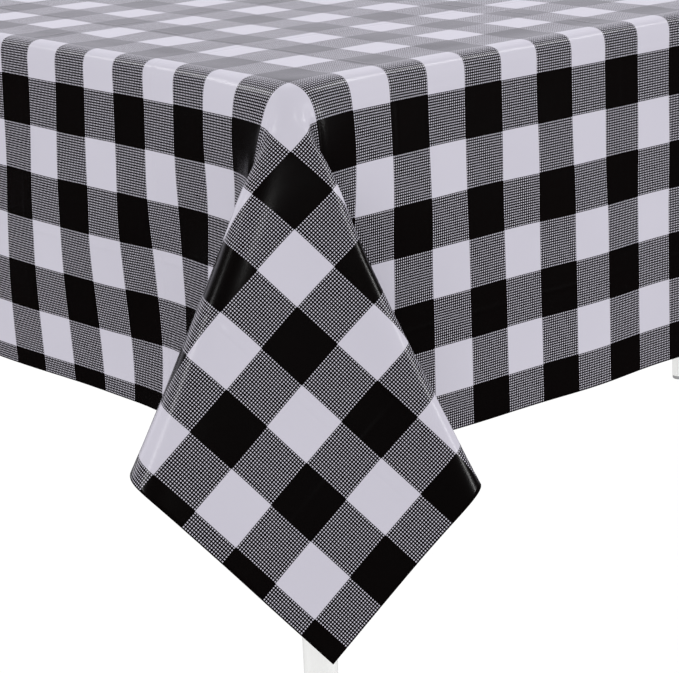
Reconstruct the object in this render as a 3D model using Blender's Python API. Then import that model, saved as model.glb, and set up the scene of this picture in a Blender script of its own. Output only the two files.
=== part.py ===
"""A dining table and the vinyl tablecloth that hangs over it.

Every size is in metres, +Z is up, the floor is at z = 0 and the table stands centred on
the Z axis with its long side along X.  The front of the table faces -Y.
The table is a knock-down one: four legs are drawn into the corners of an apron frame by
hanger bolts and steel corner brackets, and Z-clips hold the top down on the aprons.
The cloth is two bonded layers, printed vinyl over a flannel backing, and stands out from
each corner of the table in one pointed fold.
"""
from math import cos, hypot, pi, radians, sin, sqrt, tau

import bmesh
import bpy
from mathutils import Matrix, Vector

# Table top
TABLE_HEIGHT = 0.750
TOP_LENGTH = 1.524
TOP_WIDTH = 0.914
TOP_THICKNESS = 0.025
TOP_CORNER_RADIUS = 0.050
TOP_CORNER_STEPS = 9
TOP_EDGE_RADIUS = 0.006

# Legs: a square block at the top, turned and tapered below it
LEG_SIZE = 0.044
LEG_INSET = 0.030
LEG_BLOCK_HEIGHT = 0.110
LEG_BEAD_RADIUS = 0.0195
LEG_NECK_RADIUS = 0.0160
LEG_THIGH_RADIUS = 0.0185
LEG_FOOT_RADIUS = 0.0110
LEG_CHAMFER_FROM_AXIS = 0.021

# Aprons
APRON_HEIGHT = 0.080
APRON_THICKNESS = 0.020
APRON_SETBACK = 0.003

# Corner brackets, hanger bolts and wing nuts
BRACKET_FROM_LEG_AXIS = 0.050
BRACKET_PLATE = 0.002
BRACKET_HEIGHT = 0.050
BRACKET_FLANGE = 0.028
BRACKET_DROP = 0.040
BOLT_RADIUS = 0.004
BOLT_IN_LEG = 0.022
BOLT_PAST_BRACKET = 0.022
NUT_HUB_RADIUS = 0.0075
NUT_HUB_LENGTH = 0.009
NUT_WING_REACH = 0.017
NUT_WING_THICKNESS = 0.003

# Z-clips that hold the top down
CLIP_PLATE = 0.0015
CLIP_WIDTH = 0.018
CLIP_FLANGE = 0.022
CLIP_TONGUE = 0.008
CLIP_STEP = 0.010
CLIPS_ALONG_SIDE = (-0.36, 0.36)

# Wood screws, the same in brackets and clips
SCREW_HEAD_RADIUS = 0.0040
SCREW_HEAD_HEIGHT = 0.0024
SCREW_SHANK_RADIUS = 0.0018
SCREW_LENGTH = 0.014

# Glides under the feet
GLIDE_RADIUS = 0.0105
GLIDE_HEIGHT = 0.005
GLIDE_PIN_RADIUS = 0.0015
GLIDE_PIN_LENGTH = 0.014

# Tablecloth
OVERHANG_ENDS = 0.2926
OVERHANG_SIDES = 0.3046
EDGE_TURN_SAVING = 0.0048
VINYL_THICKNESS = 0.0005
BACKING_THICKNESS = 0.0007
FOLD_APEX_INSET = 0.004
FOLD_APEX_DROP = 0.010
FOLD_TURN = radians(20)
FOLD_OUT = 0.50
FOLD_BACK = 0.06
FOLD_NECK = 0.085

# Meshes hold 32-bit numbers, so pieces that touch keep this gap
GAP = 0.0003
HOLE_CLEARANCE = 0.0003
ROUND_SIDES = 24
SMALL_SIDES = 12

UNDER_TOP = TABLE_HEIGHT - TOP_THICKNESS
LEG_AXIS_X = TOP_LENGTH / 2 - LEG_INSET - LEG_SIZE / 2
LEG_AXIS_Y = TOP_WIDTH / 2 - LEG_INSET - LEG_SIZE / 2
APRON_INNER = LEG_SIZE / 2 - APRON_SETBACK - APRON_THICKNESS
CORNERS = {
    "back_right": (1, 1, 0),
    "back_left": (-1, 1, 1),
    "front_left": (-1, -1, 2),
    "front_right": (1, -1, 3),
}


# ---------------------------------------------------------------- shapes

def box(low, high):
    """A closed box between two corners."""
    bm = bmesh.new()
    size = Vector(high) - Vector(low)
    middle = (Vector(high) + Vector(low)) / 2
    bmesh.ops.create_cube(bm, size=1.0, matrix=Matrix.Translation(middle) @ Matrix.Diagonal((*size, 1)))
    return bm


def prism(outline, z_low, z_high):
    """A flat outline, counter-clockwise, extruded straight up."""
    bm = bmesh.new()
    base = bm.faces.new([bm.verts.new((x, y, z_low)) for x, y in outline])
    raised = bmesh.ops.extrude_face_region(bm, geom=[base])["geom"]
    lifted = [v for v in raised if isinstance(v, bmesh.types.BMVert)]
    bmesh.ops.translate(bm, verts=lifted, vec=(0, 0, z_high - z_low))
    bmesh.ops.recalc_face_normals(bm, faces=bm.faces)
    return bm


def turned(profile, sides):
    """A solid of revolution about Z; profile is (radius, z) and starts and ends on the axis."""
    bm = bmesh.new()
    rings = []
    for radius, z in profile:
        if radius == 0:
            rings.append([bm.verts.new((0, 0, z))] * sides)
        else:
            turns = (tau * i / sides for i in range(sides))
            rings.append([bm.verts.new((radius * cos(a), radius * sin(a), z)) for a in turns])
    for upper, lower in zip(rings, rings[1:]):
        for i in range(sides):
            j = (i + 1) % sides
            corners = []
            for vertex in (upper[i], upper[j], lower[j], lower[i]):
                if vertex not in corners:
                    corners.append(vertex)
            bm.faces.new(corners)
    bmesh.ops.recalc_face_normals(bm, faces=bm.faces)
    return bm


def rounded_rectangle(half_x, half_y, radius, steps):
    """Outline points, counter-clockwise, with an arc of so many steps at each corner."""
    points = []
    for quarter, (sx, sy) in enumerate(((1, 1), (-1, 1), (-1, -1), (1, -1))):
        for step in range(steps + 1):
            angle = (quarter + step / steps) * pi / 2
            x = sx * (half_x - radius) + radius * cos(angle)
            y = sy * (half_y - radius) + radius * sin(angle)
            points.append((x, y))
    return points


def along(direction):
    """The rotation that turns +Z to a direction."""
    return Vector((0, 0, 1)).rotation_difference(Vector(direction)).to_matrix().to_4x4()


def moved(bm, matrix):
    bmesh.ops.transform(bm, matrix=matrix, verts=bm.verts)
    return bm


# ---------------------------------------------------------------- objects

def new_object(name, bm, finish=None, matrix=None):
    """Puts a closed mesh in the scene as a named object."""
    mesh = bpy.data.meshes.new(name)
    bm.to_mesh(mesh)
    bm.free()
    if finish:
        mesh.materials.append(finish)
        mesh.shade_smooth()
        mesh.set_sharp_from_angle(angle=radians(35))
    obj = bpy.data.objects.new(name, mesh)
    bpy.context.scene.collection.objects.link(obj)
    if matrix:
        obj.matrix_world = matrix
    return obj


def combine(obj, tools, operation):
    """Joins tool meshes to an object, or cuts them from it, and keeps the plain result."""
    for tool in tools:
        cutter = new_object("tool", tool)
        step = obj.modifiers.new("combine", "BOOLEAN")
        step.operation = operation
        step.solver = "EXACT"
        step.object = cutter
        evaluated = obj.evaluated_get(bpy.context.evaluated_depsgraph_get())
        result = bpy.data.meshes.new_from_object(evaluated)
        obj.modifiers.remove(step)
        old = obj.data
        obj.data = result
        result.name = obj.name
        bpy.data.meshes.remove(old)
        used = cutter.data
        bpy.data.objects.remove(cutter)
        bpy.data.meshes.remove(used)
    return obj


def finish(name, colour, roughness, metallic=0.0):
    material = bpy.data.materials.new(name)
    material.use_nodes = True
    shader = material.node_tree.nodes["Principled BSDF"]
    shader.inputs["Base Color"].default_value = (*colour, 1)
    shader.inputs["Roughness"].default_value = roughness
    shader.inputs["Metallic"].default_value = metallic
    material.diffuse_color = (*colour, 1)
    return material


def own(base, name):
    """Each object's own copy of a finish."""
    copy = base.copy()
    copy.name = name
    return copy


# ---------------------------------------------------------------- table

def make_top(painted):
    outline = rounded_rectangle(TOP_LENGTH / 2, TOP_WIDTH / 2, TOP_CORNER_RADIUS, TOP_CORNER_STEPS)
    bm = prism(outline, UNDER_TOP, TABLE_HEIGHT)
    rim = [e for e in bm.edges if all(abs(v.co.z - TABLE_HEIGHT) < GAP for v in e.verts)]
    bmesh.ops.bevel(bm, geom=rim, offset=TOP_EDGE_RADIUS, segments=4, profile=0.5, affect="EDGES")
    top = new_object("table_top", bm, own(painted, "table_top"))
    holes = []
    for matrix in clip_places().values():
        holes.append(moved(screw_hole(), matrix @ clip_screw_place()))
    return combine(top, holes, "DIFFERENCE")


def make_leg(name, place, painted):
    """A leg about its own axis, its bolt face turned to the middle of the table."""
    half = LEG_SIZE / 2
    top = UNDER_TOP - GAP
    block = box((-half, -half, top - LEG_BLOCK_HEIGHT), (half, half, top))
    leg = new_object(name, block, own(painted, name))
    shoulder = top - LEG_BLOCK_HEIGHT
    profile = [
        (0, shoulder + half),
        (LEG_NECK_RADIUS, shoulder + half),
        (LEG_NECK_RADIUS, shoulder - 0.004),
        (LEG_BEAD_RADIUS, shoulder - 0.009),
        (LEG_BEAD_RADIUS, shoulder - 0.015),
        (LEG_NECK_RADIUS, shoulder - 0.020),
        (LEG_NECK_RADIUS, shoulder - 0.030),
        (LEG_THIGH_RADIUS, shoulder - 0.055),
        (LEG_THIGH_RADIUS, shoulder - 0.085),
        (LEG_FOOT_RADIUS, GLIDE_HEIGHT + GAP),
        (0, GLIDE_HEIGHT + GAP),
    ]
    combine(leg, [turned(profile, ROUND_SIDES)], "UNION")
    inward = Vector((-1, -1, 0)).normalized()
    face = inward * LEG_CHAMFER_FROM_AXIS
    chamfer = moved(
        box((-half, -half, 0), (half, half, half)),
        Matrix.Translation(face + Vector((0, 0, top - LEG_BLOCK_HEIGHT / 2)))
        @ along(inward) @ Matrix.Rotation(pi / 4, 4, "Z") @ Matrix.Diagonal((4, 4, 1, 1)),
    )
    deep = BOLT_IN_LEG + GAP
    bolt_hole = turned([
        (0, LEG_SIZE), (BOLT_RADIUS + HOLE_CLEARANCE, LEG_SIZE),
        (BOLT_RADIUS + HOLE_CLEARANCE, -deep), (0, -deep),
    ], SMALL_SIDES)
    moved(bolt_hole, Matrix.Translation(face + Vector((0, 0, bolt_height()))) @ along(inward))
    pin = GLIDE_PIN_RADIUS + HOLE_CLEARANCE
    pin_top = GLIDE_HEIGHT + GLIDE_PIN_LENGTH + GAP
    pin_hole = turned([(0, pin_top), (pin, pin_top), (pin, 0), (0, 0)], SMALL_SIDES)
    combine(leg, [chamfer, bolt_hole, pin_hole], "DIFFERENCE")
    leg.matrix_world = place
    return leg


def bolt_height():
    return UNDER_TOP - BRACKET_DROP


def make_apron(name, low, high, painted):
    """A straight board with its screw holes and the pockets for its Z-clips."""
    apron = new_object(name, box(low, high), own(painted, name))
    tools = []
    for place in bracket_screw_places():
        tools.append(moved(screw_hole(), place))
    for matrix in clip_places().values():
        pocket = box((-CLIP_TONGUE - GAP, -CLIP_WIDTH / 2 - GAP, -CLIP_STEP - CLIP_PLATE - 2 * GAP),
                     (GAP, CLIP_WIDTH / 2 + GAP, -CLIP_STEP))
        tools.append(moved(pocket, matrix))
    for tool in tools:
        middle = sum((v.co for v in tool.verts), Vector()) / len(tool.verts)
        if all(a - SCREW_LENGTH < m < b + SCREW_LENGTH for a, m, b in zip(low, middle, high)):
            combine(apron, [tool], "DIFFERENCE")
        else:
            tool.free()
    return apron


def make_aprons(painted):
    z_high = UNDER_TOP - GAP
    z_low = z_high - APRON_HEIGHT
    end_outer = LEG_AXIS_X + APRON_INNER + APRON_THICKNESS
    end_inner = LEG_AXIS_X + APRON_INNER
    side_outer = LEG_AXIS_Y + APRON_INNER + APRON_THICKNESS
    side_inner = LEG_AXIS_Y + APRON_INNER
    reach_x = LEG_AXIS_X - LEG_SIZE / 2 - GAP
    reach_y = LEG_AXIS_Y - LEG_SIZE / 2 - GAP
    make_apron("apron_front", (-reach_x, -side_outer, z_low), (reach_x, -side_inner, z_high), painted)
    make_apron("apron_back", (-reach_x, side_inner, z_low), (reach_x, side_outer, z_high), painted)
    make_apron("apron_left", (-end_outer, -reach_y, z_low), (-end_inner, reach_y, z_high), painted)
    make_apron("apron_right", (end_inner, -reach_y, z_low), (end_outer, reach_y, z_high), painted)


def make_glide(name, place, nylon):
    profile = [
        (0, GLIDE_HEIGHT + GLIDE_PIN_LENGTH), (GLIDE_PIN_RADIUS, GLIDE_HEIGHT + GLIDE_PIN_LENGTH - 0.003),
        (GLIDE_PIN_RADIUS, GLIDE_HEIGHT), (GLIDE_RADIUS, GLIDE_HEIGHT), (GLIDE_RADIUS, 0.001),
        (GLIDE_RADIUS - 0.001, 0), (0, 0),
    ]
    return new_object(name, turned(profile, ROUND_SIDES), own(nylon, name), place)


# ---------------------------------------------------------------- fixings

def corner_place(sx, sy, quarter):
    """The frame of a leg, whose local (+X, +Y) points out of the table's corner."""
    return Matrix.Translation((sx * LEG_AXIS_X, sy * LEG_AXIS_Y, 0)) @ Matrix.Rotation(quarter * pi / 2, 4, "Z")


def bracket_path():
    """The middle line of a corner bracket seen from above, in the leg's frame."""
    lie = APRON_INNER - GAP - BRACKET_PLATE / 2
    bend = -BRACKET_FROM_LEG_AXIS * sqrt(2) - lie
    return [Vector((bend - BRACKET_FLANGE, lie)), Vector((bend, lie)),
            Vector((lie, bend)), Vector((lie, bend - BRACKET_FLANGE))]


def thick_outline(path, thickness):
    """A bent strip's outline: its middle line moved half a thickness each way, corners mitred."""
    left, right = [], []
    for i, point in enumerate(path):
        steps = []
        if i > 0:
            steps.append((point - path[i - 1]).normalized())
        if i < len(path) - 1:
            steps.append((path[i + 1] - point).normalized())
        normals = [Vector((-s.y, s.x)) for s in steps]
        mitre = sum(normals, Vector((0, 0))).normalized()
        offset = mitre * (thickness / 2 / mitre.dot(normals[0]))
        left.append(point + offset)
        right.append(point - offset)
    return right + left[::-1]


def bracket_screw_frames():
    """A bracket's two screws in the leg's frame: the head's seat, with -Z into the apron."""
    path = bracket_path()
    frames = []
    for start, end, outward in ((path[0], path[1], (0, 1, 0)), (path[2], path[3], (1, 0, 0))):
        middle = (start + end) / 2
        outward = Vector(outward)
        seat = Vector((middle.x, middle.y, bolt_height())) - outward * (BRACKET_PLATE / 2 + GAP)
        frames.append(Matrix.Translation(seat) @ along(-outward))
    return frames


def bracket_screw_places():
    """Where all the bracket screws go on the table."""
    return [corner_place(*corner) @ local for corner in CORNERS.values() for local in bracket_screw_frames()]


def screw():
    """A pan-headed wood screw: seat at z = 0, head above, point below."""
    r = SCREW_SHANK_RADIUS
    head = SCREW_HEAD_RADIUS
    return turned([
        (0, SCREW_HEAD_HEIGHT), (head * 0.55, SCREW_HEAD_HEIGHT), (head, SCREW_HEAD_HEIGHT * 0.45),
        (head, 0), (r, 0), (r, -SCREW_LENGTH + 0.004), (0, -SCREW_LENGTH),
    ], SMALL_SIDES)


def screw_hole():
    """The room a screw needs below its head's seat."""
    r = SCREW_SHANK_RADIUS + HOLE_CLEARANCE
    deep = SCREW_LENGTH + GAP
    return turned([(0, SCREW_HEAD_HEIGHT), (r, SCREW_HEAD_HEIGHT), (r, -deep), (0, -deep)], SMALL_SIDES)


def make_bracket(name, place, steel):
    z_middle = bolt_height()
    outline = [(p.x, p.y) for p in thick_outline(bracket_path(), BRACKET_PLATE)]
    bm = prism(outline, z_middle - BRACKET_HEIGHT / 2, z_middle + BRACKET_HEIGHT / 2)
    bracket = new_object(name, bm, own(steel, name))
    inward = Vector((-1, -1, 0)).normalized()
    wide = BOLT_RADIUS + HOLE_CLEARANCE
    reach = 4 * BRACKET_PLATE
    bolt_hole = turned([(0, reach), (wide, reach), (wide, -reach), (0, -reach)], SMALL_SIDES)
    middle = inward * BRACKET_FROM_LEG_AXIS + Vector((0, 0, z_middle))
    tools = [moved(bolt_hole, Matrix.Translation(middle) @ along(inward))]
    tools += [moved(screw_hole(), local) for local in bracket_screw_frames()]
    combine(bracket, tools, "DIFFERENCE")
    bracket.matrix_world = place
    return bracket


def bolt_frame(distance):
    """A frame on a hanger bolt's axis, +Z pointing to the middle of the table."""
    inward = Vector((-1, -1, 0)).normalized()
    return Matrix.Translation(inward * distance + Vector((0, 0, bolt_height()))) @ along(inward)


def make_bolt(name, place, steel):
    """A hanger bolt: wood thread in the leg, machine thread through the bracket."""
    start = LEG_CHAMFER_FROM_AXIS - BOLT_IN_LEG
    length = BRACKET_FROM_LEG_AXIS + BOLT_PAST_BRACKET - start
    r = BOLT_RADIUS
    profile = [(0, length), (r * 0.7, length), (r, length - 0.0015), (r, 0.008), (0, 0)]
    return new_object(name, moved(turned(profile, SMALL_SIDES), bolt_frame(start)), own(steel, name), place)


def make_wing_nut(name, place, steel):
    """A wing nut against the bracket: a hub with two wings, bored for the bolt."""
    length = NUT_HUB_LENGTH
    hub = turned([(0, length), (NUT_HUB_RADIUS * 0.8, length), (NUT_HUB_RADIUS, 0), (0, 0)], SMALL_SIDES)
    nut = new_object(name, hub, own(steel, name))
    wings = []
    for side in (1, -1):
        inner = side * NUT_HUB_RADIUS * 0.5
        outer = side * NUT_WING_REACH
        section = [(inner, length * 0.25), (outer * 0.8, length * 0.55), (outer, length * 1.6),
                   (outer * 0.85, length * 1.7), (inner, length * 0.85)]
        if side < 0:
            section.reverse()
        wing = prism(section, -NUT_WING_THICKNESS / 2, NUT_WING_THICKNESS / 2)
        wings.append(moved(wing, Matrix.Rotation(pi / 2, 4, "X")))
    combine(nut, wings, "UNION")
    bore = BOLT_RADIUS + HOLE_CLEARANCE
    combine(nut, [turned([(0, 2 * length), (bore, 2 * length), (bore, -length), (0, -length)], SMALL_SIDES)],
            "DIFFERENCE")
    seat = BRACKET_FROM_LEG_AXIS + BRACKET_PLATE / 2 + GAP
    nut.data.transform(bolt_frame(seat))
    nut.matrix_world = place
    return nut


def clip_places():
    """Where each Z-clip goes: local +X points away from the apron, z = 0 is under the top."""
    places = {}
    side_inner = LEG_AXIS_Y + APRON_INNER
    end_inner = LEG_AXIS_X + APRON_INNER
    for index, x in enumerate(CLIPS_ALONG_SIDE, 1):
        places[f"front_{index}"] = Matrix.Translation((x, -side_inner, UNDER_TOP)) @ Matrix.Rotation(pi / 2, 4, "Z")
        places[f"back_{index}"] = Matrix.Translation((x, side_inner, UNDER_TOP)) @ Matrix.Rotation(-pi / 2, 4, "Z")
    places["left"] = Matrix.Translation((-end_inner, 0, UNDER_TOP))
    places["right"] = Matrix.Translation((end_inner, 0, UNDER_TOP)) @ Matrix.Rotation(pi, 4, "Z")
    return places


def clip_screw_place():
    """The clip screw's frame in its clip's frame: it is driven up into the top."""
    seat = Vector((CLIP_FLANGE * 0.6, 0, -2 * GAP - CLIP_PLATE))
    return Matrix.Translation(seat) @ Matrix.Rotation(pi, 4, "X")


def make_clip(name, place, steel):
    """A steel Z: tongue in the apron's pocket, step, and a flange flat under the top."""
    z_flange = -GAP - CLIP_PLATE / 2
    z_tongue = -CLIP_STEP - GAP - CLIP_PLATE / 2
    rise = CLIP_PLATE
    path = [Vector((-CLIP_TONGUE + GAP, z_tongue)), Vector((rise, z_tongue)),
            Vector((rise * 2, z_flange)), Vector((CLIP_FLANGE, z_flange))]
    bm = prism([(p.x, p.y) for p in thick_outline(path, CLIP_PLATE)], -CLIP_WIDTH / 2, CLIP_WIDTH / 2)
    moved(bm, Matrix.Rotation(pi / 2, 4, "X"))
    clip = new_object(name, bm, own(steel, name))
    combine(clip, [moved(screw_hole(), clip_screw_place())], "DIFFERENCE")
    clip.matrix_world = place
    return clip


# ---------------------------------------------------------------- tablecloth

def fold_directions():
    """Unit directions of a corner fold's two edges and its tip, for the (+X, +Y) corner."""
    down = -sqrt(1 - FOLD_OUT ** 2 - FOLD_BACK ** 2)
    end_edge = Vector((FOLD_OUT, -FOLD_BACK, down))
    side_edge = Vector((-FOLD_BACK, FOLD_OUT, down))
    tip = (end_edge + side_edge).normalized()
    return end_edge, side_edge, tip


def fold_points():
    """Apex, hem points and necks of a corner fold, from the table's own corner."""
    apex = Vector((-FOLD_APEX_INSET, -FOLD_APEX_INSET, -FOLD_APEX_DROP))
    end_edge, side_edge, tip = fold_directions()
    end_hem = apex + end_edge * (OVERHANG_ENDS / cos(FOLD_TURN))
    side_hem = apex + side_edge * (OVERHANG_SIDES / cos(FOLD_TURN))
    tip_hem = apex + tip * hypot(OVERHANG_ENDS, OVERHANG_SIDES)
    depth = (OVERHANG_ENDS + OVERHANG_SIDES) / 2 + EDGE_TURN_SAVING
    end_neck = Vector((0, -FOLD_NECK, -depth))
    side_neck = Vector((-FOLD_NECK, 0, -depth))
    inside = Vector((-FOLD_NECK, -FOLD_NECK, -depth))
    return apex, end_hem, tip_hem, side_hem, end_neck, side_neck, inside


def fold_solid(sx, sy, offset, open_below):
    """A corner fold's wedge, grown by an offset; its hem is left off where it is to be cut through."""
    apex, end_hem, tip_hem, side_hem, end_neck, side_neck, inside = fold_points()
    core = (inside + apex) / 2
    planes = [(apex, end_hem, side_hem), (apex, end_hem, end_neck), (apex, side_hem, side_neck)]
    hems = [(end_hem, tip_hem, inside), (side_hem, tip_hem, inside)]
    corner = Vector((sx * TOP_LENGTH / 2, sy * TOP_WIDTH / 2, TABLE_HEIGHT))
    reach = TABLE_HEIGHT / 2
    bm = box((-FOLD_NECK, -FOLD_NECK, -2 * reach), (reach, reach, 0))
    for points, grow in [(p, offset) for p in planes] + [(p, 0) for p in hems if not open_below]:
        a, b, c = points
        normal = (b - a).cross(c - a).normalized()
        if normal.dot(core - a) > 0:
            normal.negate()
        cut = bmesh.ops.bisect_plane(
            bm, geom=bm.verts[:] + bm.edges[:] + bm.faces[:], dist=1e-7,
            plane_co=a + normal * grow, plane_no=normal, clear_outer=True,
        )
        rim = [e for e in cut["geom_cut"] if isinstance(e, bmesh.types.BMEdge)]
        bmesh.ops.edgeloop_fill(bm, edges=rim)
    moved(bm, Matrix.Translation(corner) @ Matrix.Diagonal((sx, sy, 1, 1)))
    bmesh.ops.recalc_face_normals(bm, faces=bm.faces)
    return bm


def cloth_body(name, offset, open_below):
    """The solid that a layer's outer or inner face encloses: a deep box with four corner folds."""
    half_x = TOP_LENGTH / 2 + offset
    half_y = TOP_WIDTH / 2 + offset
    top = TABLE_HEIGHT + offset
    hem_ends = TABLE_HEIGHT - OVERHANG_ENDS - EDGE_TURN_SAVING
    hem_sides = TABLE_HEIGHT - OVERHANG_SIDES - EDGE_TURN_SAVING
    lowest = TABLE_HEIGHT / 4
    body = new_object(name, box((-half_x, -half_y, lowest if open_below else hem_ends), (half_x, half_y, top)))
    tools = []
    if not open_below:
        middle = (hem_ends + TABLE_HEIGHT) / 2
        inner_x = half_x - FOLD_NECK / 2
        inner_y = half_y - FOLD_NECK / 2
        if hem_sides < hem_ends:
            tools.append(box((-inner_x, -half_y, hem_sides), (inner_x, half_y, middle)))
        elif hem_sides > hem_ends:
            tools.append(box((-half_x, -inner_y, hem_ends), (half_x, inner_y, middle)))
    for sx, sy, _quarter in CORNERS.values():
        tools.append(fold_solid(sx, sy, offset, open_below))
    return combine(body, tools, "UNION")


def make_cloth_layer(name, inner, outer, material):
    """One layer of the cloth, between two distances from the table's faces."""
    layer = cloth_body(name, outer, False)
    hollow = cloth_body("hollow", inner, True)
    bm = bmesh.new()
    bm.from_mesh(hollow.data)
    bpy.data.objects.remove(hollow)
    combine(layer, [bm], "DIFFERENCE")
    layer.data.materials.append(material)
    return layer


# ---------------------------------------------------------------- assembly

for old in list(bpy.data.objects):
    bpy.data.objects.remove(old, do_unlink=True)

painted_wood = finish("painted_wood", (0.86, 0.86, 0.85), 0.38)
zinc_steel = finish("zinc_steel", (0.62, 0.63, 0.64), 0.34, 1.0)
grey_nylon = finish("grey_nylon", (0.34, 0.34, 0.35), 0.55)
printed_vinyl = finish("vinyl_cloth", (0.42, 0.42, 0.44), 0.22)
white_flannel = finish("flannel_backing", (0.85, 0.85, 0.84), 0.9)

make_top(painted_wood)
make_aprons(painted_wood)
for corner, (sign_x, sign_y, quarter) in CORNERS.items():
    frame = corner_place(sign_x, sign_y, quarter)
    make_leg(f"leg_{corner}", frame, painted_wood)
    make_glide(f"glide_{corner}", frame, grey_nylon)
    make_bracket(f"corner_bracket_{corner}", frame, zinc_steel)
    make_bolt(f"hanger_bolt_{corner}", frame, zinc_steel)
    make_wing_nut(f"wing_nut_{corner}", frame, zinc_steel)
    for number, local in enumerate(bracket_screw_frames(), 1):
        name = f"bracket_screw_{corner}_{number}"
        new_object(name, screw(), own(zinc_steel, name), frame @ local)
for label, place in clip_places().items():
    make_clip(f"top_clip_{label}", place, zinc_steel)
    name = f"clip_screw_{label}"
    new_object(name, screw(), own(zinc_steel, name), place @ clip_screw_place())

backing_inner = GAP
backing_outer = backing_inner + BACKING_THICKNESS
vinyl_inner = backing_outer + GAP
make_cloth_layer("flannel_backing", backing_inner, backing_outer, white_flannel)
make_cloth_layer("vinyl_cloth", vinyl_inner, vinyl_inner + VINYL_THICKNESS, printed_vinyl)
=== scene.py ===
from math import cos, pi, radians, sin

import bmesh
import bpy
import numpy as np
from mathutils import Matrix, Vector


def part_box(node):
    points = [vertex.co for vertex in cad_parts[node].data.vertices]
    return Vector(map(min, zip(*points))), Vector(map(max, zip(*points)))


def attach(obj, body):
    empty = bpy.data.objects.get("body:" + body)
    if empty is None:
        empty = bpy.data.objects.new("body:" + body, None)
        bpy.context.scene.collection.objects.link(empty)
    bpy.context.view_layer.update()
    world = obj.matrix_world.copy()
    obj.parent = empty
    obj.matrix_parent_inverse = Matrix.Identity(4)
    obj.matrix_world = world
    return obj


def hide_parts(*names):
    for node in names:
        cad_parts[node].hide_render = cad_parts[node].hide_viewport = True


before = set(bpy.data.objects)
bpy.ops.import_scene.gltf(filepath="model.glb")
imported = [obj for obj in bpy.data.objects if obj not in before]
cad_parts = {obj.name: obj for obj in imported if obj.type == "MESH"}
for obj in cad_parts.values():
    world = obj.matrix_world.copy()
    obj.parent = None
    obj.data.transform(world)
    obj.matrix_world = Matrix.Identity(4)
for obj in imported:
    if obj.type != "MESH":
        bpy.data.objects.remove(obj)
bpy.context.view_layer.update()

# ------------------------------------------------------------------ camera
# The camera stands a little above table height, off the front left corner of the table,
# and looks down on that corner with a long portrait lens, tipped very slightly to one side.
top_low, top_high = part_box("table_top")
near_corner = Vector((top_low[0], top_low[1], top_high[2]))
view_turn = radians(49.16)
view_dip = radians(16.29)
view_tilt = radians(-1.92)

camera_data = bpy.data.cameras.new("camera")
camera_data.lens = 118.4
camera_data.sensor_width = 36
camera = bpy.data.objects.new("camera", camera_data)
bpy.context.collection.objects.link(camera)
forward = Vector((cos(view_dip) * cos(view_turn), cos(view_dip) * sin(view_turn), -sin(view_dip)))
level = forward.cross(Vector((0, 0, 1))).normalized()
across = level * cos(view_tilt) + level.cross(forward) * sin(view_tilt)
upward = across.cross(forward)
camera_place = near_corner + Vector((-1.0583, -1.2707, 0.2889))
camera.matrix_world = Matrix((across, upward, -forward)).transposed().to_4x4()
camera.matrix_world.translation = camera_place
bpy.context.scene.camera = camera

# ------------------------------------------------------------------ floor and studio light
# A pale studio floor that runs out into an even white surround.  It glows a little, so that
# the table throws almost no shadow on it, and it keeps out of the vinyl's reflections.
bpy.context.scene.view_settings.view_transform = "Standard"
bpy.context.scene.view_settings.look = "None"


class Bench:
    """A material's or a world's nodes, with short ways to add and join them."""

    def __init__(self, tree):
        self.tree = tree

    def add(self, kind, **settings):
        node = self.tree.nodes.new(kind)
        for key, value in settings.items():
            setattr(node, key, value)
        return node

    def feed(self, socket, value):
        if isinstance(value, bpy.types.NodeSocket):
            self.tree.links.new(value, socket)
        else:
            socket.default_value = value

    def math(self, operation, *values):
        node = self.add("ShaderNodeMath", operation=operation)
        for socket, value in zip(node.inputs, values):
            self.feed(socket, value)
        return node.outputs[0]

    def between(self, value, low, high):
        """0 below low, 1 above high, and a smooth rise from one to the other."""
        node = self.add("ShaderNodeMapRange", interpolation_type="SMOOTHSTEP")
        for key, setting in (("Value", value), ("From Min", low), ("From Max", high)):
            self.feed(node.inputs[key], setting)
        return node.outputs[0]

    def blend(self, share, first, second, way="MIX"):
        node = self.add("ShaderNodeMix", data_type="RGBA", blend_type=way)
        self.feed(node.inputs[0], share)
        self.feed(node.inputs[6], first)
        self.feed(node.inputs[7], second)
        return node.outputs[2]

    def noise(self, place, scale, detail=2.0, roughness=0.5):
        node = self.add("ShaderNodeTexNoise")
        self.feed(node.inputs["Vector"], place)
        node.inputs["Scale"].default_value = scale
        node.inputs["Detail"].default_value = detail
        node.inputs["Roughness"].default_value = roughness
        return node.outputs[0]

    def stretched(self, place, scale, turn=(0, 0, 0)):
        node = self.add("ShaderNodeMapping")
        self.feed(node.inputs["Vector"], place)
        node.inputs["Scale"].default_value = scale
        node.inputs["Rotation"].default_value = turn
        return node.outputs[0]

    def bump(self, height, distance, strength=1.0, over=None):
        node = self.add("ShaderNodeBump")
        self.feed(node.inputs["Height"], height)
        node.inputs["Distance"].default_value = distance
        node.inputs["Strength"].default_value = strength
        if over:
            self.feed(node.inputs["Normal"], over)
        return node.outputs[0]


def grey(value):
    return (value, value, value, 1)


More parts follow.
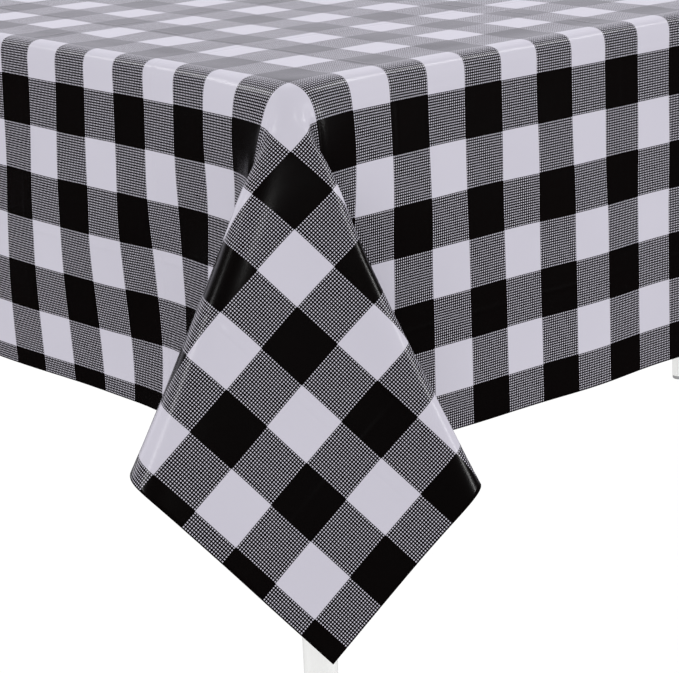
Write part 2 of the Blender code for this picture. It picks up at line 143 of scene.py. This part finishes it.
world = bpy.data.worlds.new("studio")
bpy.context.scene.world = world
world.use_nodes = True
studio = Bench(world.node_tree)
aim = studio.add("ShaderNodeTexCoord").outputs["Generated"]
aim_split = studio.add("ShaderNodeSeparateXYZ")
studio.feed(aim_split.inputs[0], aim)
toward_back = studio.math(
    "ADD",
    studio.math("MULTIPLY", aim_split.outputs[0], cos(view_turn)),
    studio.math("MULTIPLY", aim_split.outputs[1], sin(view_turn)),
)
above_floor = studio.between(aim_split.outputs[2], -0.02, 0.04)
back_wall = studio.math("MULTIPLY", studio.between(toward_back, 0.3, 0.8), above_floor)
mirrored = studio.blend(back_wall, grey(0.012), (0.88, 0.86, 0.96, 1))
lit = studio.blend(studio.between(toward_back, -0.9, 0.2), grey(0.74), grey(0.97))
ray = studio.add("ShaderNodeLightPath")
seen = studio.blend(ray.outputs["Is Camera Ray"], lit, grey(1.0))
seen = studio.blend(ray.outputs["Is Glossy Ray"], seen, mirrored)
studio.feed(world.node_tree.nodes["Background"].inputs[0], seen)
world.node_tree.nodes["Background"].inputs[1].default_value = 1.0

floor_mesh = bpy.data.meshes.new("floor")
floor_shape = bmesh.new()
bmesh.ops.create_circle(floor_shape, cap_ends=True, radius=30, segments=64)
floor_shape.to_mesh(floor_mesh)
floor_shape.free()
floor = bpy.data.objects.new("floor", floor_mesh)
bpy.context.collection.objects.link(floor)
floor.visible_glossy = False
floor_paint = bpy.data.materials.new("floor")
floor_paint.use_nodes = True
floor_shader = floor_paint.node_tree.nodes["Principled BSDF"]
floor_shader.inputs["Base Color"].default_value = grey(0.12)
floor_shader.inputs["Roughness"].default_value = 0.9
floor_shader.inputs["Specular IOR Level"].default_value = 0.0
floor_shader.inputs["Emission Color"].default_value = grey(1)
floor_shader.inputs["Emission Strength"].default_value = 0.92
floor_mesh.materials.append(floor_paint)


def softbox(name, place, look_at, size, power):
    light = bpy.data.lights.new(name, "AREA")
    light.shape = "RECTANGLE"
    light.size, light.size_y = size
    light.energy = power
    lamp = bpy.data.objects.new(name, light)
    bpy.context.collection.objects.link(lamp)
    lamp.location = place
    lamp.rotation_euler = (Vector(look_at) - Vector(place)).to_track_quat("-Z", "Y").to_euler()


# Each with its place, what it faces, its width and height, and its watts.
softbox("left_softbox", (-3.4, 0.3, 1.5), (-0.8, -0.4, 0.6), (0.5, 1.6), 10)
softbox("right_softbox", (0.9, -3.3, 1.5), (-0.6, -0.5, 0.6), (0.35, 1.6), 13)
softbox("front_strip", (-1.62, -2.97, 2.4), (-0.8, -0.5, 0.6), (0.12, 0.8), 4)
softbox("end_edge_light", (-1.43, 1.46, 2.26), (-0.76, -0.28, 0.75), (0.3, 1.0), 4.5)
softbox("side_edge_light", (1.12, -1.16, 2.57), (-0.45, -0.45, 0.75), (0.3, 1.2), 8)

# ------------------------------------------------------------------ table
# A plain kitchen table of solid wood: a top with rounded corners, an apron frame and four
# turned legs.  Every piece has two coats of white satin paint, laid on along its grain.


def satin_paint(name, grain):
    """White satin paint over planed wood, with fine brush marks that run along the grain."""
    material = bpy.data.materials.new(name)
    material.use_nodes = True
    bench = Bench(material.node_tree)
    shader = material.node_tree.nodes["Principled BSDF"]
    place = bench.add("ShaderNodeTexCoord").outputs["Object"]
    along_brush = [320.0, 320.0, 320.0]
    along_brush["XYZ".index(grain)] = 9.0
    brush = bench.noise(bench.stretched(place, along_brush), 1.0, 3.0, 0.6)
    along_grain = [70.0, 70.0, 70.0]
    along_grain["XYZ".index(grain)] = 2.5
    wood_grain = bench.noise(bench.stretched(place, along_grain), 1.0, 4.0, 0.65)
    cloudy = bench.noise(place, 6.0, 3.0)
    paint = bench.blend(cloudy, (0.86, 0.86, 0.85, 1), (0.91, 0.91, 0.90, 1))
    grain_shade = bench.blend(wood_grain, grey(0.6), grey(1.0))
    bench.feed(shader.inputs["Base Color"], bench.blend(0.10, paint, grain_shade))
    bench.feed(shader.inputs["Roughness"], bench.math("MULTIPLY_ADD", brush, 0.12, 0.30))
    relief = bench.bump(wood_grain, 0.0006, 0.35)
    bench.feed(shader.inputs["Normal"], bench.bump(brush, 0.0004, 0.4, relief))
    return material


def dress(node_names, material):
    """Give carried-over pieces their finish."""
    for node_name in node_names:
        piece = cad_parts[node_name]
        piece.data.materials.clear()
        piece.data.materials.append(material)


corners = ("back_right", "back_left", "front_left", "front_right")
dress(["table_top", "apron_front", "apron_back"], satin_paint("painted_wood_long", "X"))
dress(["apron_left", "apron_right"], satin_paint("painted_wood_cross", "Y"))
dress(["leg_" + corner for corner in corners], satin_paint("painted_wood_leg", "Z"))

# ------------------------------------------------------------------ table fixings
# Pressed steel corner brackets, hanger bolts with wing nuts, wood screws and the clips that
# hold the top: all mild steel with bright zinc plating, which dries in faint cloudy patches.


def zinc_plate(name):
    material = bpy.data.materials.new(name)
    material.use_nodes = True
    bench = Bench(material.node_tree)
    shader = material.node_tree.nodes["Principled BSDF"]
    shader.inputs["Metallic"].default_value = 1.0
    place = bench.add("ShaderNodeTexCoord").outputs["Object"]
    patches = bench.noise(place, 140.0, 3.0)
    rolled = bench.noise(bench.stretched(place, (900.0, 900.0, 120.0)), 1.0, 2.0)
    plating = bench.blend(patches, (0.52, 0.54, 0.56, 1), (0.70, 0.71, 0.72, 1))
    bench.feed(shader.inputs["Base Color"], plating)
    bench.feed(shader.inputs["Roughness"], bench.math("MULTIPLY_ADD", patches, 0.22, 0.24))
    bench.feed(shader.inputs["Normal"], bench.bump(rolled, 0.0002, 0.3))
    return material


clip_places = ("front_1", "front_2", "back_1", "back_2", "left", "right")
leg_fixings = ("corner_bracket_", "hanger_bolt_", "wing_nut_")
steel_pieces = [kind + corner for kind in leg_fixings for corner in corners]
steel_pieces += ["bracket_screw_" + corner + number for corner in corners for number in ("_1", "_2")]
steel_pieces += [kind + clip for kind in ("top_clip_", "clip_screw_") for clip in clip_places]
dress(steel_pieces, zinc_plate("zinc_steel"))

# ------------------------------------------------------------------ leg glides
# Moulded grey nylon buttons tapped into the feet, so that the legs slide on a hard floor.


def moulded_nylon(name):
    material = bpy.data.materials.new(name)
    material.use_nodes = True
    bench = Bench(material.node_tree)
    shader = material.node_tree.nodes["Principled BSDF"]
    shader.inputs["Subsurface Weight"].default_value = 0.05
    shader.inputs["Subsurface Radius"].default_value = (0.002, 0.002, 0.002)
    place = bench.add("ShaderNodeTexCoord").outputs["Object"]
    scuffs = bench.noise(place, 260.0, 4.0)
    spark = bench.noise(place, 1500.0, 1.0)
    plastic = bench.blend(scuffs, (0.29, 0.29, 0.30, 1), (0.38, 0.38, 0.39, 1))
    bench.feed(shader.inputs["Base Color"], plastic)
    bench.feed(shader.inputs["Roughness"], bench.math("MULTIPLY_ADD", scuffs, 0.2, 0.42))
    bench.feed(shader.inputs["Normal"], bench.bump(spark, 0.0002, 0.3))
    return material


dress(["glide_" + corner for corner in corners], moulded_nylon("nylon"))

# ------------------------------------------------------------------ the sheet, as it hangs
# One rectangle of soft vinyl on a flannel backing, cut square with plain edges and laid over
# the table.  The sides hang nearly straight, and at each corner the spare cloth stands out
# in a broad pointed pleat, whose back edges tuck in under the table's corner.
check = 0.0415          # one square of the printed check
sheet_lift = 0.0018     # the vinyl's face above the wood
top_half = np.array([top_high[0], top_high[1]])
top_corner_radius = 0.050
top_edge_radius = 0.006
fold_half = top_half + sheet_lift
hang = np.array([0.2918, 0.3054])
cut_half = fold_half + hang
edge_saving = 0.0034    # cloth saved by bending round the edge instead of square over it
pleat_hollow = np.array([0.0036, 0.0036, 0.0101])
flare_at_ends = 0.043   # how far each hanging side stands out, for each metre down
flare_at_sides = 0.0225

# The pleat in plan.  Threads pulled straight from the table's corner, one metre long, end on
# this outline: how far out of the table's end, and how far out of its side.
pleat_plan = (
    (0.01, -0.76), (0.00, -0.65), (0.00, -0.55),    # the end's hang
    (0.11, -0.42), (0.08, -0.29),                   # it turns outward
    (0.25, -0.25), (0.42, -0.16), (0.53, 0.00),     # round fold
    (0.40, 0.12), (0.20, 0.21), (-0.03, 0.31),      # flat face of the pleat
    (-0.22, 0.39), (-0.18, 0.24), (-0.07, 0.12),    # sharp fold, back inward
    (-0.10, 0.03), (-0.24, -0.01), (-0.37, 0.00),   # tight neck, the side's hang
)


def grid_lines(cut, fold):
    """Half of the sheet's grid lines one way: wide apart on the top, closest round the edge."""
    near_edge, at_edge = 0.062, 0.020
    wide, close, closest = 0.026, 0.007, 0.0037
    zones = (
        (0, fold - near_edge, wide),
        (fold - near_edge, fold - at_edge, close),
        (fold - at_edge, fold + at_edge, closest),
        (fold + at_edge, cut, close),
    )
    lines = [np.zeros(1)]
    for start, end, step in zones:
        lines.append(np.linspace(start, end, round((end - start) / step) + 1)[1:])
    return np.concatenate(lines)


def hanging_line(angle, flare):
    """Where a line of a straight-hanging side points: along the edge, outward and down."""
    slope = np.hypot(flare, 1)
    return cos(angle), sin(angle) * flare / slope, sin(angle) / slope


def pleat_directions(lean_share=1.0, twist=0.0):
    """The smooth run of directions (out of the end, out of the side, down) round a corner.
    It is shared out evenly over the 270 degrees of flat cloth from the end's edge of the
    table round to the side's, and comes with the flat angle of each direction."""
    keys = []
    for angle in range(0, 31, 6):
        edge, out, down = hanging_line(radians(angle), flare_at_ends)
        keys.append((out, -edge, down))
    for number, (from_end, from_side) in enumerate(pleat_plan):
        middle = sin(pi * number / (len(pleat_plan) - 1))
        turn = radians(twist * middle)
        share = 1 + (lean_share - 1) * middle
        out = share * (from_end * cos(turn) - from_side * sin(turn))
        aside = share * (from_end * sin(turn) + from_side * cos(turn))
        keys.append((out, aside, (1 - out**2 - aside**2) ** 0.5))
    for angle in range(62, -1, -6):
        edge, out, down = hanging_line(radians(angle), flare_at_sides)
        keys.append((-edge, out, down))
    keys.append((-1, 0, 0))
    keys = np.array(keys)
    ends = np.vstack([2 * keys[0] - keys[1], keys, 2 * keys[-1] - keys[-2]])
    steps_between = 24
    share = np.linspace(0, 1, steps_between, endpoint=False)[:, None]
    run = []
    for a, b, c, d in zip(ends, ends[1:], ends[2:], ends[3:]):
        bend = 2 * a - 5 * b + 4 * c - d + share * (3 * b - a - 3 * c + d)
        run.append(b + 0.5 * share * (c - a + share * bend))
    run = np.vstack(run + [keys[-1:]])
    run /= np.linalg.norm(run, axis=1)[:, None]
    steps = np.linalg.norm(np.diff(run, axis=0), axis=1)
    turns = np.concatenate([[0], np.cumsum(steps)]) * 270 / steps.sum() - 90
    return turns, run


def lay_out(flat_x, flat_y, turns, run):
    """A first shape for a quarter of the sheet: flat on the top, straight lines past the edge."""
    out_x, out_y = flat_x - fold_half[0], flat_y - fold_half[1]
    reach = np.hypot(out_x, out_y)
    turn = np.degrees(np.arctan2(out_y, out_x))
    away = np.stack([np.interp(turn, turns, run[:, way]) for way in range(3)], axis=-1)
    away /= np.linalg.norm(away, axis=-1)[..., None]
    pleat_from, pleat_to, run_out = -25, 112, 30
    in_pleat = np.clip((turn - pleat_from) / run_out, 0, 1) * np.clip((pleat_to - turn) / run_out, 0, 1)
    in_pleat = in_pleat**2 * (3 - 2 * in_pleat)
    full_drop_at = 0.03
    drop = (edge_saving + pleat_hollow[2] * in_pleat) * np.clip(reach / full_drop_at, 0, 1)
    points = np.stack([
        fold_half[0] + away[..., 0] * reach - pleat_hollow[0] * in_pleat,
        fold_half[1] + away[..., 1] * reach - pleat_hollow[1] * in_pleat,
        -drop - away[..., 2] * reach,
    ], axis=-1)
    on_top = (out_x <= 0) & (out_y <= 0)
    return np.where(on_top[..., None], np.stack([flat_x, flat_y, 0 * flat_x], axis=-1), points)


def straight_out(offset, length, otherwise):
    """The direction of an offset whose length is known, or another where it has none."""
    return np.where(length[..., None] > 1e-9, offset / np.maximum(length, 1e-9)[..., None], otherwise)


def rest_on_table(points):
    """Push the cloth out of the table's top, a slab with rounded corners and rounded edges."""
    past = points[..., :2] - (top_half - top_corner_radius)
    corner = np.maximum(past, 0)
    corner_length = np.linalg.norm(corner, axis=-1)
    plan_gap = corner_length + np.minimum(past.max(axis=-1), 0) - top_corner_radius
    nearest_side = np.where((past[..., 0] > past[..., 1])[..., None], (1.0, 0.0), (0.0, 1.0))
    plan_way = straight_out(corner, corner_length, nearest_side)
    height = points[..., 2] + sheet_lift
    section = np.stack([plan_gap + top_edge_radius, height + top_edge_radius], axis=-1)
    rounded = np.maximum(section, 0)
    rounded_length = np.linalg.norm(rounded, axis=-1)
    gap = rounded_length + np.minimum(section.max(axis=-1), 0) - top_edge_radius
    nearest_face = np.where((section[..., 0] > section[..., 1])[..., None], (1.0, 0.0), (0.0, 1.0))
    way = straight_out(rounded, rounded_length, nearest_face)
    largest_push, top_thickness = 0.004, 0.025
    push = np.clip(sheet_lift - gap, 0, largest_push) * (points[..., 2] > -top_thickness)
    points[..., :2] += plan_way * (way[..., 0] * push)[..., None]
    points[..., 2] += way[..., 1] * push


# A helper's hands coax the pleat while the cloth settles.  Each touch is a place on the flat
# cloth, past the end's fold and past the side's, how far the touch spreads, and how far the
# cloth under it is moved: out of the end, out of the side and up.
touches = (
    ((0.05, -0.015), 0.06, (0.015, -0.005, 0)),
    ((0, 0.05), 0.06, (-0.01, 0.01, 0)),
    ((0.15, 0.03), 0.075, (0.005, 0, 0)),
    ((0.27, -0.19), 0.09, (-0.005, 0.005, -0.005)),
)


# How the cloth behaves as it settles: the share of each fault that one round puts right.
settling_rounds = 600
bending = 0.06          # straightens a kink
bias_pull = 0.6         # keeps lengths across the weave of the grid; along it, all of the fault
grip_below = 0.03       # draws the hang back to where it was laid
grip_on_top = 0.015


def settle(points, flat_x, flat_y):
    """Let the cloth find its own shape: it keeps its lengths, resists bending and rests on
    the table, while the far hang and the pleat's faces are held near where they were laid."""
    laid = points.copy()
    out_x, out_y = flat_x - fold_half[0], flat_y - fold_half[1]
    for (past_end, past_side), spread, move in touches:
        away = np.hypot(out_x - past_end, out_y - past_side)
        laid += np.exp(-(away / spread) ** 2)[..., None] * np.array(move)
    reach = np.hypot(out_x, out_y)
    over_edge = np.hypot(np.maximum(out_x, 0), np.maximum(out_y, 0))
    lies_still, full_grip_at = 0.030, 0.05
    free = np.where(np.minimum(-out_x, -out_y) > lies_still, 0.0, 1.0)
    free[0] = free[:, 0] = 0
    hold = grip_below * np.clip(reach / full_grip_at, 0, 1)
    hold = np.where(over_edge <= 0, grip_on_top, hold) * free
    whole, stretch, bends = slice(None), [], []

    def threads(first, second, stiffness):
        length = np.hypot(flat_x[second] - flat_x[first], flat_y[second] - flat_y[first])
        both = np.maximum(free[first] + free[second], 1e-9)
        stretch.append((first, second, length, stiffness, free[first] / both, free[second] / both))

    for start in (0, 1):
        this, following = slice(start, -1, 2), slice(start + 1, None, 2)
        threads((this, whole), (following, whole), 1.0)
        threads((whole, this), (whole, following), 1.0)
        threads((this, slice(None, -1)), (following, slice(1, None)), bias_pull)
        threads((this, slice(1, None)), (following, slice(None, -1)), bias_pull)
    for over in (1, 2):
        for lines in (flat_x, flat_y.T):
            lengths = lines[:, 0]
            before = lengths[over:-over] - lengths[:-2 * over]
            after = lengths[2 * over:] - lengths[over:-over]
            share = (after / (before + after))[:, None, None]
            spots = [slice(None, -2 * over), slice(over, -over), slice(2 * over, None)]
            spots = [(spot, whole) for spot in spots]
            if lines is not flat_x:
                spots = [spot[::-1] for spot in spots]
                share = share.transpose(1, 0, 2)
            bends.append((*spots, share))
    for _ in range(settling_rounds):
        for before, middle, after, share in bends:
            kink = points[before] * share + points[after] * (1 - share) - points[middle]
            points[middle] += bending * kink * free[middle][..., None]
            points[before] -= 0.5 * bending * kink * free[before][..., None]
            points[after] -= 0.5 * bending * kink * free[after][..., None]
        points += (laid - points) * hold[..., None]
        for first, second, length, stiffness, give_first, give_second in stretch:
            span = points[second] - points[first]
            now = np.maximum(np.linalg.norm(span, axis=-1), 1e-9)
            pull = (stiffness * (1 - length / now))[..., None] * span
            points[first] += pull * give_first[..., None]
            points[second] -= pull * give_second[..., None]
        rest_on_table(points)
    return points


# Each corner's pleat stands a little differently: how far it leans out, and how far it is
# turned.  Signs give the corner, x first.
corner_pleats = {(-1, -1): (1.0, 0), (1, -1): (0.93, -5), (-1, 1): (0.95, 4), (1, 1): (1.05, 2)}


def hang_sheet():
    """The whole hung sheet: grid of flat places, and where each of them hangs."""
    lines_x, lines_y = grid_lines(cut_half[0], fold_half[0]), grid_lines(cut_half[1], fold_half[1])
    flat_x, flat_y = np.meshgrid(lines_x, lines_y, indexing="ij")
    nx, ny = flat_x.shape
    flat = np.zeros((2 * nx - 1, 2 * ny - 1, 2))
    hung = np.zeros((2 * nx - 1, 2 * ny - 1, 3))
    for (sign_x, sign_y), (lean_share, twist) in corner_pleats.items():
        quarter = lay_out(flat_x, flat_y, *pleat_directions(lean_share, twist))
        quarter = settle(quarter, flat_x, flat_y)
        rows = slice(nx - 1, None) if sign_x > 0 else slice(nx - 1, None, -1)
        columns = slice(ny - 1, None) if sign_y > 0 else slice(ny - 1, None, -1)
        flat[rows, columns] = np.stack([sign_x * flat_x, sign_y * flat_y], axis=-1)
        hung[rows, columns] = quarter * (sign_x, sign_y, 1)
    return flat, hung


flat_sheet, hung_sheet = hang_sheet()


def ripple(flat, hung):
    """The last unevenness of a sheet just unfolded: low rumples on the top, slow waves below."""
    rumple_height, edge_margin, rumple_fade = 0.0006, 0.012, 0.05
    wave_depth, full_wave_at, pleat_margin, wave_fade = 0.0016, 0.16, 0.055, 0.08
    x, y = flat[..., 0], flat[..., 1]
    on_top = np.clip((fold_half - edge_margin - abs(flat)) / rumple_fade, 0, 1).prod(axis=-1)
    rumple = np.sin(58 * x + 21 * y + 1.7 * np.sin(17 * y))
    rumple *= np.sin(47 * y - 13 * x + 1.3 * np.sin(23 * x + 0.6))
    rumple += 0.6 * np.sin(31 * x - 44 * y + 2.1 * np.sin(9 * x + 1.1))
    hung[..., 2] += rumple_height * (1.6 + rumple) * on_top
    for way, along, phase in ((0, y, 0.4), (1, x, 2.2)):
        below = np.clip((abs(flat[..., way]) - fold_half[way]) / full_wave_at, 0, 1)
        clear_of_pleat = np.clip((fold_half[1 - way] - pleat_margin - abs(along)) / wave_fade, 0, 1)
        side = np.sign(flat[..., way])
        wave = np.sin(27 * along + phase + side)
        wave += 0.7 * np.sin(43 * along - 7 * below + 2 * phase * side)
        hung[..., way] += side * wave_depth * wave * below * clear_of_pleat


ripple(flat_sheet, hung_sheet)
hung_sheet[..., 2] += top_high[2] + sheet_lift


def sheet_piece(name, sink, thickness):
    """A layer of the hung sheet, sunk below its face, with its flat places as a UV map."""
    flat = flat_sheet.reshape(-1, 2)
    index = np.arange(len(flat)).reshape(flat_sheet.shape[:2])
    quads = [index[:-1, :-1], index[1:, :-1], index[1:, 1:], index[:-1, 1:]]
    quads = np.stack(quads, axis=-1).reshape(-1, 4)
    mesh = bpy.data.meshes.new(name)
    mesh.from_pydata(hung_sheet.reshape(-1, 3).tolist(), [], quads.tolist())
    at_corners = flat[quads.ravel()]
    for map_name, places in (("OFBake", at_corners / (2 * cut_half) + 0.5), ("flat", at_corners)):
        uv_map = mesh.uv_layers.new(name=map_name)
        uv_map.uv.foreach_set("vector", places.astype(np.float32).ravel())
    mesh.shade_smooth()
    piece = bpy.data.objects.new(name, mesh)
    bpy.context.collection.objects.link(piece)
    soften = piece.modifiers.new("soften", "SUBSURF")
    soften.levels = soften.render_levels = 1
    soften.uv_smooth = "SMOOTH_ALL"
    soften.boundary_smooth = "PRESERVE_CORNERS"
    if sink:
        lower = piece.modifiers.new("lower", "DISPLACE")
        lower.strength = -sink
        lower.mid_level = 0
    wall = piece.modifiers.new("wall", "SOLIDIFY")
    wall.thickness = thickness
    wall.offset = -1
    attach(piece, "tablecloth")
    return piece


# ------------------------------------------------------------------ vinyl face
# Soft glossy vinyl film, printed in black on white with a buffalo check.  Solid ink marks
# where two bands cross, bare vinyl where none runs, and a grid of white dots in the ink
# where one runs.  It has the faint dimples of the fabric under it, and its packing creases.
vinyl_thickness = 0.0005
vinyl = sheet_piece("vinyl_face", 0, vinyl_thickness)
check_start = -fold_half + np.array([0.35, 0.45]) * check
squares_before = 200.0      # an even number, so that every square's count is above zero
dots_per_check = 19
packed_fold = (0.264, 0.191)
crease_width = 0.0035
dot_half_width = 0.262      # of the distance from dot to dot


def print_cover(bench, flat_places):
    """How bare the print leaves the vinyl at a point: 0 in the ink, 1 on white vinyl."""
    split = bench.add("ShaderNodeSeparateXYZ")
    bench.feed(split.inputs[0], flat_places)
    bare, dot = [], []
    for way in range(2):
        past_start = bench.math("SUBTRACT", split.outputs[way], float(check_start[way]))
        place = bench.math("DIVIDE", past_start, check)
        count = bench.math("FLOOR", bench.math("ADD", place, squares_before))
        bare.append(bench.math("MODULO", count, 2.0))
        rank = bench.math("FRACT", bench.math("MULTIPLY", place, float(dots_per_check)))
        from_dot = bench.math("ABSOLUTE", bench.math("SUBTRACT", rank, 0.5))
        dot.append(bench.math("POWER", bench.math("DIVIDE", from_dot, dot_half_width), 3.0))
    dots = bench.math("LESS_THAN", bench.math("ADD", *dot), 1.0)
    both = bench.math("MULTIPLY", *bare)
    one = bench.math("SUBTRACT", bench.math("MAXIMUM", *bare), both)
    return bench.math("MULTIPLY_ADD", one, dots, both)


def printed_vinyl(name):
    material = bpy.data.materials.new(name)
    material.use_nodes = True
    bench = Bench(material.node_tree)
    shader = material.node_tree.nodes["Principled BSDF"]
    flat_places = bench.add("ShaderNodeUVMap", uv_map="flat").outputs[0]
    bare = print_cover(bench, flat_places)
    cloudy = bench.noise(flat_places, 9.0, 3.0)
    ink = bench.blend(cloudy, (0.0024, 0.0013, 0.0012, 1), (0.0012, 0.0007, 0.0008, 1))
    white = bench.blend(cloudy, (0.565, 0.545, 0.625, 1), (0.60, 0.58, 0.66, 1))
    bench.feed(shader.inputs["Base Color"], bench.blend(bare, ink, white))
    bench.feed(shader.inputs["Roughness"], bench.math("MULTIPLY_ADD", cloudy, 0.06, 0.20))
    shader.inputs["IOR"].default_value = 1.5
    across_sheet = bench.add("ShaderNodeSeparateXYZ")
    bench.feed(across_sheet.inputs[0], flat_places)
    creases = []
    for way, fold_width in enumerate(packed_fold):
        in_fold = bench.math("FRACT", bench.math("DIVIDE", across_sheet.outputs[way], fold_width))
        from_middle = bench.math("ABSOLUTE", bench.math("SUBTRACT", in_fold, 0.5))
        from_crease = bench.math("MULTIPLY", from_middle, fold_width)
        creases.append(bench.between(from_crease, crease_width, 0.0))
    crease = bench.math("MAXIMUM", *creases)
    dimples = bench.noise(flat_places, 900.0, 2.0)
    ripples = bench.noise(flat_places, 24.0, 2.0)
    relief = bench.bump(crease, 0.0004, 0.5, bench.bump(ripples, 0.0016, 0.25))
    bench.feed(shader.inputs["Normal"], bench.bump(dimples, 0.0002, 0.12, relief))
    return material


vinyl.data.materials.append(printed_vinyl("printed_vinyl"))
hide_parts("vinyl_cloth")

# ------------------------------------------------------------------ flannel backing
# A brushed, non-woven white flannel, bonded to the back of the vinyl over the whole sheet
# and cut with it.  It has a short matted pile with loose fibres in every direction.
flannel_thickness = 0.0006
bond_gap = 0.0001
flannel = sheet_piece("flannel_back", vinyl_thickness + bond_gap, flannel_thickness)


def white_flannel(name):
    material = bpy.data.materials.new(name)
    material.use_nodes = True
    bench = Bench(material.node_tree)
    shader = material.node_tree.nodes["Principled BSDF"]
    shader.inputs["Roughness"].default_value = 0.95
    shader.inputs["Specular IOR Level"].default_value = 0.15
    shader.inputs["Sheen Weight"].default_value = 0.35
    shader.inputs["Sheen Roughness"].default_value = 0.5
    flat_places = bench.add("ShaderNodeUVMap", uv_map="flat").outputs[0]
    fibres = bench.noise(bench.stretched(flat_places, (420.0, 2600.0, 1.0)), 1.0, 3.0, 0.6)
    across = bench.stretched(flat_places, (2400.0, 380.0, 1.0), (0, 0, 0.5))
    crossing = bench.noise(across, 1.0, 3.0, 0.6)
    pile = bench.math("MAXIMUM", fibres, crossing)
    matted = bench.noise(flat_places, 60.0, 4.0)
    cloth = bench.blend(pile, (0.66, 0.66, 0.64, 1), (0.84, 0.84, 0.82, 1))
    matted_shade = bench.blend(matted, grey(0.5), grey(1.0))
    bench.feed(shader.inputs["Base Color"], bench.blend(0.15, cloth, matted_shade))
    relief = bench.bump(matted, 0.0010, 0.4)
    bench.feed(shader.inputs["Normal"], bench.bump(pile, 0.0006, 0.6, relief))
    return material


flannel.data.materials.append(white_flannel("white_flannel"))
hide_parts("flannel_backing")
